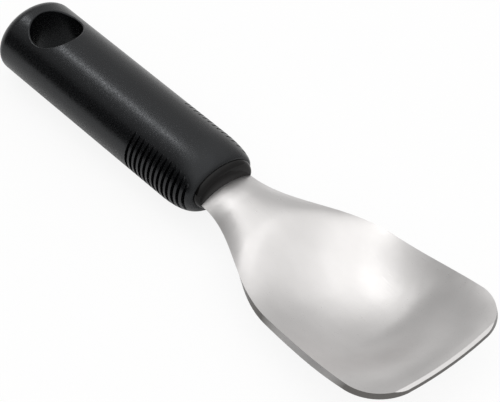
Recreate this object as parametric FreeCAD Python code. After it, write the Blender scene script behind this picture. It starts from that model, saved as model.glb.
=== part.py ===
"""Ice cream spade: a dished steel blade, a glossy collar insert and a soft finned grip.

Millimetres, +Z up. +X runs from the rear of the grip to the front of the blade.
Places along the spade are stations measured from the rear end of the grip, and
heights are measured from the axis of the grip. At the end the three pieces are moved
so that the origin lies under the middle of the spade, on the surface it rests on.
"""

import FreeCAD, Part
import math
import os

from FreeCAD import Vector

# Overall
overall_length = 231.2

# Grip, an oval soft sleeve
grip_length = 115.8
grip_width = 34.0
grip_height = 28.0
grip_rear_dome = 7.8
grip_shoulder = 15.0
grip_mouth_width = 26.6
grip_mouth_height = 17.0
grip_mouth_lift = 2.0

# Hanging hole, straight down through the grip
hole_radius = 10.0
hole_station = 20.7
hole_edge_radius = 0.5

# Fins on both flanks, left standing between crescent grooves
groove_count = 13
fin_pitch = 2.53
first_groove_station = 82.3
groove_mouth = 1.5
groove_root = 1.1
groove_depth = 2.8
groove_half_height = 10.4

# Collar insert: a visible nose ahead of the grip and a core buried in it
nose_length = 2.6
nose_width = 23.0
nose_height = 9.5
nose_lift = 0.6
nose_inset = 0.3
core_width = 20.0
core_height = 15.0
core_mouth_width = 25.0
core_mouth_height = 15.8
core_rear_station = 40.0

# Blade, one pressed plate from tang to front edge
plate_thickness = 2.4
tang_width = 13.0
tang_rear_station = 52.0
tang_end_station = 102.0
neck_station = 117.0
neck_width = 23.2
arch_rise = 3.2
arch_growth = 1.4
arch_growth_run = 11.0
arch_fade_station = 142.0
arch_fade_run = 32.4
flare_station = 118.0
flare_length = 56.0
shoulder_width = 58.7
side_flare_station = 160.0
front_width = 64.2
edge_height = 0.15
side_rise = 8.1
side_rise_station = 168.0
side_rise_run = 84.0
dish_station = 144.2
dish_rear_curve = 73.0
dish_run = 50.3
dish_blend = 0.1
dish_depth = 10.9
front_lift = 9.2
front_lift_station = 197.2
front_radius = 185.0
corner_radius = 16.2
bevel_width = 0.95
bevel_drop = 0.8

# Modelling allowances
skin_rows = 64
skin_columns = 15
row_bend = 4
curve_steps = 12
ring_steps = 8
dome_fullness = 0.9
wall_margin = 4.0
corner_overlap = 0.03
match = 0.01

AXIS = Vector(1, 0, 0)
UP = Vector(0, 0, 1)


def ease(value, start, run):
    """0 up to start, 1 after the run, and a half cosine wave between them."""
    share = min(max((value - start) / run, 0.0), 1.0)
    return 0.5 - 0.5 * math.cos(math.pi * share)


def smooth_edge(points):
    """One edge through a row of points."""
    curve = Part.BSplineCurve()
    curve.interpolate(points)
    return curve.toShape()


# Blade

def corner_centre():
    """Plan centre of a front corner, tangent to the side and to the curved front edge."""
    across = front_width / 2 - corner_radius
    reach = front_radius - corner_radius
    along = overall_length - front_radius + math.sqrt(reach ** 2 - across ** 2)
    return along, across


def half_width(x):
    """Half the plan width: tang, neck, concave flare, and sides that open a little more."""
    neck = ease(x, tang_end_station, neck_station - tang_end_station)
    flare = ease(x, flare_station, flare_length)
    side = ease(x, side_flare_station, corner_centre()[0] - side_flare_station)
    width = tang_width + (neck_width - tang_width) * neck
    width += (shoulder_width - neck_width) * flare
    width += (front_width - shoulder_width) * side
    return width / 2


def rim_height(x):
    """Height of the blade's side edges, which climb towards the front."""
    return edge_height + side_rise * ease(x, side_rise_station, side_rise_run)


def arch(x):
    """Rise of the middle over the edges along the neck, fading into the spade."""
    rise = arch_rise * ease(x, tang_end_station, neck_station - tang_end_station)
    rise += arch_growth * ease(x, neck_station, arch_growth_run)
    return rise * (1 - ease(x, arch_fade_station, arch_fade_run))


def dip(x, y):
    """Depth of the dish: a bowl with a rounded rear that runs out towards the front edge."""
    way = (x - dish_station - y ** 2 / dish_rear_curve) / dish_run
    way = min((way + math.hypot(way, dish_blend)) / 2, 1)
    front = front_lift * ease(x, front_lift_station, overall_length - front_lift_station)
    return dish_depth * (1 - (1 - way) ** 2) - front


def top_height(x, y):
    """Height of the top skin: the rims carry the arch and the dish between them."""
    span = 1 - (y / half_width(x)) ** 2
    return rim_height(x) + (arch(x) - dip(x, y)) * span


def plate_point(x, y, depth):
    """Point of the top skin at a plan place, sunk square to the skin by a depth."""
    slope_x = (top_height(x + match, y) - top_height(x - match, y)) / (2 * match)
    slope_y = (top_height(x, y + match) - top_height(x, y - match)) / (2 * match)
    normal = Vector(-slope_x, -slope_y, 1).normalize()
    return Vector(x, y, top_height(x, y)) - normal * depth


def front_setback(y):
    """How far the curved front edge lies behind its middle."""
    return front_radius - math.sqrt(front_radius ** 2 - y ** 2)


def plate_skin(level):
    """Top skin at level 0 or bottom skin at level 1, from the tang's rear to the front edge."""
    grid = []
    for row in range(skin_rows):
        share = row / (skin_rows - 1)
        station = tang_rear_station + (overall_length - tang_rear_station) * share
        points = []
        for column in range(skin_columns):
            across = 2 * column / (skin_columns - 1) - 1
            x = station - front_setback(half_width(station) * across) * share ** row_bend
            points.append(plate_point(x, half_width(x) * across, level * plate_thickness))
        grid.append(points)
    skin = Part.BSplineSurface()
    skin.interpolate(grid)
    return skin


def skin_rim(skin):
    """The four boundary edges of a skin: rear, front and the two sides."""
    u0, u1, v0, v1 = skin.bounds()
    ends = [skin.uIso(u).toShape(v0, v1) for u in (u0, u1)]
    sides = [skin.vIso(v).toShape(u0, u1) for v in (v0, v1)]
    return ends + sides


def plate():
    """Plate of even thickness with its four rims square to the skins."""
    top = plate_skin(0)
    bottom = plate_skin(1)
    faces = [top.toShape(), bottom.toShape()]
    faces += [Part.makeRuledSurface(a, b) for a, b in zip(skin_rim(top), skin_rim(bottom))]
    shell = Part.Shell(faces)
    shell.sewShape()
    return Part.Solid(shell)


def corner_cutter(side):
    """What lies outside a rounded front corner, with its wall square to the skin."""
    along, across = corner_centre()
    tangent = math.atan2(across, along - overall_length + front_radius)
    spare = math.sqrt(corner_overlap / corner_radius)
    upper = []
    lower = []
    for k in range(curve_steps + 1):
        turn = tangent - spare + (math.pi / 2 - tangent + 2 * spare) * k / curve_steps
        x = along + corner_overlap + corner_radius * math.cos(turn)
        y = side * (across + corner_overlap + corner_radius * math.sin(turn))
        upper.append(plate_point(x, y, -wall_margin))
        lower.append(plate_point(x, y, plate_thickness + wall_margin))
    wall = Part.makeRuledSurface(smooth_edge(upper), smooth_edge(lower))
    return wall.extrude(Vector(1, side, 0) * corner_radius)


def bevel_cutter():
    """Wedge that grinds the top of the front edge down along its whole width."""
    def line(ahead):
        lift = -bevel_drop * (1 + ahead / bevel_width)
        points = []
        for k in range(curve_steps + 1):
            y = (front_width + wall_margin) * (k / curve_steps - 0.5)
            x = overall_length - front_setback(y) + ahead
            points.append(Vector(x, y, top_height(x, y) + lift))
        return smooth_edge(points)
    slope = Part.makeRuledSurface(line(-2 * bevel_width), line(bevel_width))
    return slope.extrude(UP * grip_height)


def make_blade():
    blade = plate()
    blade = blade.cut(bevel_cutter())
    for side in (-1, 1):
        blade = blade.cut(corner_cutter(side))
    return blade.Solids[0]


# Grip and collar insert

def oval(station, width, height, lift=0):
    """Oval wire square to the axis, its middle lifted above the axis."""
    ring = Part.Ellipse(Vector(0, 0, 0), width / 2, height / 2).toShape()
    ring.rotate(Vector(0, 0, 0), Vector(0, 1, 0), 90)
    ring.rotate(Vector(0, 0, 0), AXIS, 90)
    ring.translate(Vector(station, 0, lift))
    return Part.Wire([ring])


def rounded(share):
    """Quarter oval: 1 at share 0, 0 at share 1."""
    return math.sqrt(1 - share ** 2)


def turned_in(start, end, length):
    """Ovals that turn in like a rounded shoulder. Each end: station, width, height, lift."""
    rings = []
    for k in range(ring_steps + 1):
        reach = math.sin(math.pi / 2 * k / ring_steps)
        drop = 1 - rounded(reach)
        sizes = [a + (b - a) * drop for a, b in zip(start[1:], end[1:])]
        rings.append(oval(start[0] + length * reach, *sizes))
    return Part.makeLoft(rings, True, False)


def grip_body():
    """Rear dome, straight middle, and the shoulder that turns into the mouth."""
    rings = []
    for k in range(1, ring_steps + 1):
        swing = math.pi / 2 * k / ring_steps
        share = math.sin(swing) ** dome_fullness
        rings.append(oval(grip_rear_dome * (1 - math.cos(swing)), grip_width * share, grip_height * share))
    dome = Part.makeLoft([Part.Vertex(0, 0, 0)] + rings, True, False)
    shoulder = grip_length - grip_shoulder
    middle = Part.Face(rings[-1]).extrude(AXIS * (shoulder - grip_rear_dome))
    end = (grip_length, grip_mouth_width, grip_mouth_height, grip_mouth_lift)
    front = turned_in((shoulder, grip_width, grip_height, 0), end, grip_shoulder)
    return dome.fuse([middle, front])


def groove_tip():
    """Half the grip's width at the height where the grooves run out."""
    return grip_width / 2 * rounded(groove_half_height / (grip_height / 2))


def groove_cutter(station, side):
    """A slab across the flank, a little wider at its mouth than at its root."""
    root = grip_width / 2 - groove_depth
    outline = []
    for edge, across in ((-1, groove_tip()), (-1, grip_width / 2), (1, grip_width / 2), (1, groove_tip())):
        width = groove_root + (groove_mouth - groove_root) * (across - root) / groove_depth
        outline.append(Vector(station + edge * width / 2, side * across, 0))
    slab = Part.Face(Part.makePolygon(outline + outline[:1])).extrude(UP * grip_height)
    slab.translate(UP * (-grip_height / 2))
    return slab


def groove_root_body(side):
    """Round bar along the grip that the grooves stop at: it meets the flank at their tips."""
    tip = groove_tip()
    root = grip_width / 2 - groove_depth
    centre = (tip ** 2 + groove_half_height ** 2 - root ** 2) / (2 * (tip - root))
    return Part.makeCylinder(root - centre, grip_length, Vector(0, side * centre, 0), AXIS)


def is_hole_rim(edge):
    """True for the curved edges where the hole breaks through the grip."""
    if edge.Length < hole_radius or isinstance(edge.Curve, Part.Line):
        return False
    reaches = [math.hypot(p.x - hole_station, p.y) for p in edge.discretize(curve_steps)]
    return all(abs(reach - hole_radius) < match for reach in reaches)


def make_grip(insert, blade):
    grip = grip_body()
    hole = Part.makeCylinder(hole_radius, 2 * grip_height, Vector(hole_station, 0, -grip_height), UP)
    grip = grip.cut(hole)
    grip = grip.makeFillet(hole_edge_radius, [edge for edge in grip.Edges if is_hole_rim(edge)])
    for side in (-1, 1):
        body = groove_root_body(side)
        slabs = [groove_cutter(first_groove_station + fin_pitch * k, side) for k in range(groove_count)]
        grip = grip.cut([slab.cut(body) for slab in slabs])
    return grip.cut([insert, blade]).Solids[0]


def make_insert(blade):
    core = Part.makeLoft([oval(core_rear_station, core_width, core_height),
                          oval(grip_length, core_mouth_width, core_mouth_height, grip_mouth_lift)], True, True)
    start = (grip_length, grip_mouth_width - 2 * nose_inset, grip_mouth_height - 2 * nose_inset, grip_mouth_lift)
    end = (grip_length + nose_length, nose_width, nose_height, nose_lift)
    nose = turned_in(start, end, nose_length)
    return core.fuse(nose).removeSplitter().cut(blade)


def export(shape, name):
    shape = shape.copy()
    shape.translate(Vector(-overall_length / 2, 0, grip_height / 2))
    shape.exportStep("parts/" + name + ".step")


def main():
    os.makedirs("parts", exist_ok=True)
    blade = make_blade()
    insert = make_insert(blade)
    grip = make_grip(insert, blade)
    for name, shape in (("blade", blade), ("collar", insert), ("grip", grip)):
        export(shape, name)


main()
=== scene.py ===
import math

import bpy
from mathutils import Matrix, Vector

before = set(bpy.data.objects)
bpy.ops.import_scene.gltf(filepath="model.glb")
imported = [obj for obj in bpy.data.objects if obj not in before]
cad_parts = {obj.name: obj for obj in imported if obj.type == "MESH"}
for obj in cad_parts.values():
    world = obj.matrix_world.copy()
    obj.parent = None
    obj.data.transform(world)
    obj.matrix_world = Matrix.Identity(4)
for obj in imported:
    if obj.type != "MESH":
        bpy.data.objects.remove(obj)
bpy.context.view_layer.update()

# Lengths are in metres, angles in degrees and colours are linear.

# Camera: its place, its turn about the vertical and its height above the horizon
CAMERA_AT = (0.42530, -0.36004, 0.57179)
AZIMUTH = 48.685
ELEVATION = 45.411
FOCAL_MM = 158.4
SENSOR_MM = 36.0
NEAR_CLIP = 0.01

# Fine rounds on the sharp edges, which are those that turn by more than the angle
BLADE_ROUND = 0.0002
GRIP_ROUND = 0.00012
SHARP_ANGLE = 35
ROUND_SEGMENTS = 2

# Finishes, each with the dark and the light end of its slight variation
SATIN = ((0.605, 0.594, 0.589), (0.660, 0.648, 0.644))
SATIN_ROUGH = (0.27, 0.36)
# Painted highlight: the bevel's lighter colour stands in for the light it catches
BEVEL_PAINTED_HIGHLIGHT = (0.72, 0.71, 0.705)
# Painted shade: the dark colour of the steel's side walls stands in for the shade they mirror
SIDE_WALL_PAINTED_SHADE = (0.14, 0.135, 0.13)
RUBBER = ((0.0018, 0.0019, 0.0022), (0.0035, 0.0037, 0.0043))
RUBBER_ROUGH = (0.20, 0.36)
RUBBER_SHEEN = (0.92, 0.955, 1.0)
PLASTIC = ((0.0030, 0.0028, 0.0028), (0.0050, 0.0046, 0.0046))
PLASTIC_ROUGH = (0.05, 0.10)

# Steel skin faces up or down and the bevel faces forward by more than these shares. Walls that
# face sideways get a painted shade, and the bevel a painted highlight
PAINTED_SHADE_LIMITS = (0.35, 0.55)
PAINTED_HIGHLIGHT_LIMITS = (0.45, 0.58)

# Next to the grip's mouth, at X = 0, the neck's shading tips forward and the steel is rougher
NECK_LENGTH = 0.014
NECK_TIP = 0.0012
NECK_ROUGHER = 0.12

# Floor: its colour, and its share of plain white as the camera and as the object sees it
WHITE = (1, 1, 1)
FLOOR_SIZE = 6.0
FLOOR_COLOUR = (0.92, 0.92, 0.92)
FLOOR_SEEN = 0.88
FLOOR_MIRRORED = 0.20

# Level of the sky by the height of its direction, and patches that add to it or dim it:
# compass angle and height, radii where the fade starts and ends, level
ROOM_TINT = (1.0, 0.995, 0.99)
SKY = ((0.0, 0.70), (0.28, 0.75), (0.41, 0.80), (0.53, 0.90), (0.64, 1.06), (0.74, 1.20),
       (1.0, 1.22))
SKY_TOP = 2.0
GLOWS = ((187, 63, 3, 12, 1.0), (205, 58, 4, 11, 0.25), (146, 3, 3, 17, 0.17))
SHADES = ((246, 13, 24, 37, 0.95), (207, 37, 17, 34, 0.53), (150, 29, 12, 25, 0.24),
          (166, 33, 2, 16, 0.22))

# Lamps: a wide one overhead, and a narrow beam along the top of the grip
KEY = {"place": (-0.05, -0.1, 1.2), "size": (1.2, 1.2), "watts": 1.5,
       "aim": (0, 0, 0.01), "spread": 180}
GRID = {"place": (-0.156, 0.001, 0.148), "size": (0.052, 0.088), "watts": 0.00085,
        "aim": (-0.062, 0, 0.027), "spread": 12}

# Noise lies mostly between these
NOISE_SPAN = (0.3, 0.7)

# Colour sockets of a Mix node, which share their names with its other sockets
MIX_A = 6
MIX_B = 7
MIX_RESULT = 2


# Node helpers

def feed(tree, value, socket):
    """Links an output socket in, or sets a number, vector or colour on the socket itself."""
    if isinstance(value, bpy.types.NodeSocket):
        tree.links.new(value, socket)
    elif socket.type == "RGBA":
        socket.default_value = (*value, 1)
    else:
        socket.default_value = value


def node(tree, kind, **values):
    """New node with its inputs fed by name."""
    made = tree.nodes.new(kind)
    for name, value in values.items():
        feed(tree, value, made.inputs[name.replace("_", " ")])
    return made


def combine(tree, kind, *values):
    """One sum on one or two values."""
    made = tree.nodes.new("ShaderNodeMath")
    made.operation = kind
    for socket, value in zip(made.inputs, values):
        feed(tree, value, socket)
    return made.outputs["Value"]


def along(tree, vector, axis):
    """One component of a vector."""
    return node(tree, "ShaderNodeSeparateXYZ", Vector=vector).outputs[axis]


def object_place(tree):
    return node(tree, "ShaderNodeTexCoord").outputs["Object"]


def noise(tree, scale, detail, roughness, stretch=(1, 1, 1)):
    """Noise in the object's own space, with its space scaled per axis."""
    place = node(tree, "ShaderNodeMapping", Vector=object_place(tree), Scale=stretch)
    made = node(tree, "ShaderNodeTexNoise", Vector=place.outputs["Vector"],
                Scale=scale, Detail=detail, Roughness=roughness)
    return made.outputs["Fac"]


def remap(tree, value, limits, levels, curve="LINEAR"):
    """Runs from the first level to the second while the value runs between its limits."""
    span = node(tree, "ShaderNodeMapRange", Value=value, From_Min=limits[0],
                From_Max=limits[1], To_Min=levels[0], To_Max=levels[1])
    span.interpolation_type = curve
    return span.outputs["Result"]


def tint(tree, value, colours):
    """Runs from the first colour to the second over the span of a noise."""
    ramp = node(tree, "ShaderNodeValToRGB", Fac=value)
    for stop, position, colour in zip(ramp.color_ramp.elements, NOISE_SPAN, colours):
        stop.position = position
        stop.color = (*colour, 1)
    return ramp.outputs["Color"]


def facing(tree, axis, limits):
    """0 to 1 as the surface turns to face along an axis, either way."""
    normal = node(tree, "ShaderNodeNewGeometry").outputs["Normal"]
    share = combine(tree, "ABSOLUTE", along(tree, normal, axis))
    return remap(tree, share, limits, (0.0, 1.0))


def blended(tree, share, a, b):
    """Colour a where the share is 0 and colour b where it is 1."""
    mix = tree.nodes.new("ShaderNodeMix")
    mix.data_type = "RGBA"
    feed(tree, share, mix.inputs["Factor"])
    feed(tree, a, mix.inputs[MIX_A])
    feed(tree, b, mix.inputs[MIX_B])
    return mix.outputs[MIX_RESULT]


def layered(tree, share, a, b):
    """Shader a where the share is 0 and shader b where it is 1."""
    mix = node(tree, "ShaderNodeMixShader", Fac=share)
    feed(tree, a, mix.inputs[1])
    feed(tree, b, mix.inputs[2])
    return mix.outputs["Shader"]


def bump(tree, height, strength, distance, normal=None):
    """Normal tilted by a height, on top of another such normal where one is given."""
    made = node(tree, "ShaderNodeBump", Height=height, Strength=strength, Distance=distance)
    if normal:
        feed(tree, normal, made.inputs["Normal"])
    return made.outputs["Normal"]


def new_material(name):
    mat = bpy.data.materials.new(name)
    mat.use_nodes = True
    mat.node_tree.nodes.clear()
    return mat, mat.node_tree


def surface(tree, **values):
    """Ends a material in one principled surface."""
    skin = node(tree, "ShaderNodeBsdfPrincipled", **values)
    node(tree, "ShaderNodeOutputMaterial", Surface=skin.outputs["BSDF"])


# Materials

def steel():
    """Satin stainless steel with a fine lengthwise grain and faint smudges. The bevel carries a
    painted highlight, and the side walls a painted shade, darker than the skin."""
    mat, tree = new_material("satin_steel")
    grain = noise(tree, 5200.0, detail=4.0, roughness=0.6, stretch=(0.03, 1.0, 1.0))
    cloud = noise(tree, 60.0, detail=3.0, roughness=0.55, stretch=(0.6, 1.0, 1.0))
    # Painted highlight: the bevel is lighter where it faces along X
    skin = blended(tree, facing(tree, "X", PAINTED_HIGHLIGHT_LIMITS), tint(tree, cloud, SATIN), BEVEL_PAINTED_HIGHLIGHT)
    # Painted shade: walls that face sideways are darkened
    colour = blended(tree, facing(tree, "Z", PAINTED_SHADE_LIMITS), SIDE_WALL_PAINTED_SHADE, skin)
    neck = remap(tree, along(tree, object_place(tree), "X"), (0.0, NECK_LENGTH), (1.0, 0.0),
                 "SMOOTHSTEP")
    rough = combine(tree, "ADD", remap(tree, grain, NOISE_SPAN, SATIN_ROUGH),
                    combine(tree, "MULTIPLY", neck, NECK_ROUGHER))
    tipped = bump(tree, neck, strength=1.0, distance=NECK_TIP)
    lines = bump(tree, grain, strength=0.05, distance=0.00003, normal=tipped)
    surface(tree, Metallic=1.0, Anisotropic=0.35, Base_Color=colour, Roughness=rough,
            Normal=lines)
    return mat


def rubber():
    """Matt soft rubber with a fine sandy grain."""
    mat, tree = new_material("soft_rubber")
    sand = noise(tree, 1500.0, detail=2.0, roughness=0.6)
    cloud = noise(tree, 45.0, detail=3.0, roughness=0.5)
    surface(tree, Specular_IOR_Level=0.36, Specular_Tint=RUBBER_SHEEN,
            Base_Color=tint(tree, cloud, RUBBER),
            Roughness=remap(tree, sand, NOISE_SPAN, RUBBER_ROUGH),
            Normal=bump(tree, sand, strength=0.25, distance=0.00006))
    return mat


def plastic():
    """Polished black plastic, with the slight waviness of a moulded surface."""
    mat, tree = new_material("gloss_plastic")
    wave = noise(tree, 130.0, detail=2.0, roughness=0.5)
    haze = noise(tree, 700.0, detail=3.0, roughness=0.6)
    surface(tree, Specular_IOR_Level=0.2,
            Base_Color=tint(tree, wave, PLASTIC),
            Roughness=remap(tree, haze, NOISE_SPAN, PLASTIC_ROUGH),
            Normal=bump(tree, wave, strength=0.08, distance=0.0002))
    return mat


def pale_floor():
    """Pale floor that is nearly plain white to the camera and keeps a soft shadow. The object
    mirrors a smaller share of that white."""
    mat, tree = new_material("pale_floor")
    body = node(tree, "ShaderNodeBsdfDiffuse", Color=FLOOR_COLOUR)
    glow = node(tree, "ShaderNodeEmission", Color=WHITE, Strength=1.0)
    ray = node(tree, "ShaderNodeLightPath").outputs
    mirrored = combine(tree, "MAXIMUM", ray["Is Glossy Ray"], ray["Is Transmission Ray"])
    white = combine(tree, "ADD", combine(tree, "MULTIPLY", ray["Is Camera Ray"], FLOOR_SEEN),
                    combine(tree, "MULTIPLY", mirrored, FLOOR_MIRRORED))
    mix = layered(tree, white, body.outputs["BSDF"], glow.outputs["Emission"])
    node(tree, "ShaderNodeOutputMaterial", Surface=mix)
    return mat


# Object

def dress(name, material, edge=None):
    """Gives a CAD node its material, and softens its sharp edges by a fine round."""
    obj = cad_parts[name]
    obj.data.materials.clear()
    obj.data.materials.append(material)
    if edge:
        soften = obj.modifiers.new("edge_round", "BEVEL")
        soften.width = edge
        soften.segments = ROUND_SEGMENTS
        soften.limit_method = "ANGLE"
        soften.angle_limit = math.radians(SHARP_ANGLE)
        soften.harden_normals = True


# Studio

def make_floor():
    bpy.ops.mesh.primitive_plane_add(size=FLOOR_SIZE, location=(0, 0, 0))
    floor = bpy.context.object
    floor.name = "floor"
    floor.data.materials.append(pale_floor())


def heading(azimuth, elevation):
    """Unit vector towards a compass angle from +X and a height above the horizon."""
    turn = math.radians(azimuth)
    rise = math.radians(elevation)
    return (math.cos(turn) * math.cos(rise), math.sin(turn) * math.cos(rise), math.sin(rise))


def patch(tree, towards, azimuth, elevation, inner, outer, level):
    """Round patch of sky at one level, which falls smoothly to 0 between its two radii."""
    dot = tree.nodes.new("ShaderNodeVectorMath")
    dot.operation = "DOT_PRODUCT"
    feed(tree, towards, dot.inputs[0])
    feed(tree, heading(azimuth, elevation), dot.inputs[1])
    limits = (math.cos(math.radians(outer)), math.cos(math.radians(inner)))
    return remap(tree, dot.outputs["Value"], limits, (0.0, level), "SMOOTHSTEP")


def sky(tree, towards):
    """Level of the studio in each direction: the dome, dimmed by its shades, and its glows."""
    dome = node(tree, "ShaderNodeValToRGB", Fac=along(tree, towards, "Z"))
    stops = dome.color_ramp.elements
    for height, _ in SKY[1:-1]:
        stops.new(height)
    for stop, (_, level) in zip(stops, SKY):
        stop.color = (level / SKY_TOP,) * 3 + (1,)
    total = combine(tree, "MULTIPLY", dome.outputs["Color"], SKY_TOP)
    for shade in SHADES:
        kept = combine(tree, "SUBTRACT", 1.0, patch(tree, towards, *shade))
        total = combine(tree, "MULTIPLY", total, kept)
    for glow in GLOWS:
        total = combine(tree, "ADD", total, patch(tree, towards, *glow))
    return total


def make_world():
    """White to the camera. For light and reflections a studio that is bright overhead,
    grey at the sides, and dark low down on the near side."""
    world = bpy.data.worlds.new("studio")
    bpy.context.scene.world = world
    world.use_nodes = True
    tree = world.node_tree
    tree.nodes.clear()
    towards = node(tree, "ShaderNodeTexCoord").outputs["Generated"]
    seen = node(tree, "ShaderNodeBackground", Color=WHITE, Strength=1.0)
    room = node(tree, "ShaderNodeBackground", Color=ROOM_TINT, Strength=sky(tree, towards))
    ray = node(tree, "ShaderNodeLightPath").outputs
    mix = layered(tree, ray["Is Camera Ray"], room.outputs["Background"],
                  seen.outputs["Background"])
    node(tree, "ShaderNodeOutputWorld", Surface=mix)


def make_camera():
    data = bpy.data.cameras.new("camera")
    data.sensor_width = SENSOR_MM
    data.lens = FOCAL_MM
    data.clip_start = NEAR_CLIP
    camera = bpy.data.objects.new("camera", data)
    camera.location = CAMERA_AT
    camera.rotation_euler = (math.radians(90 - ELEVATION), 0, math.radians(AZIMUTH))
    bpy.context.collection.objects.link(camera)
    bpy.context.scene.camera = camera


def soft_box(name, place, size, watts, aim, spread):
    """Oblong area lamp aimed at a point."""
    data = bpy.data.lights.new(name, "AREA")
    data.shape = "RECTANGLE"
    data.size, data.size_y = size
    data.energy = watts
    data.spread = math.radians(spread)
    lamp = bpy.data.objects.new(name, data)
    lamp.location = place
    lamp.rotation_euler = (Vector(aim) - Vector(place)).to_track_quat("-Z", "Y").to_euler()
    bpy.context.collection.objects.link(lamp)
    return lamp


dress("blade", steel(), BLADE_ROUND)
dress("collar", plastic())
dress("grip", rubber(), GRIP_ROUND)

make_floor()
make_world()
make_camera()
soft_box("key", **KEY)
grid = soft_box("grid", **GRID)
grid.visible_camera = False
bpy.context.scene.view_settings.view_transform = "Standard"
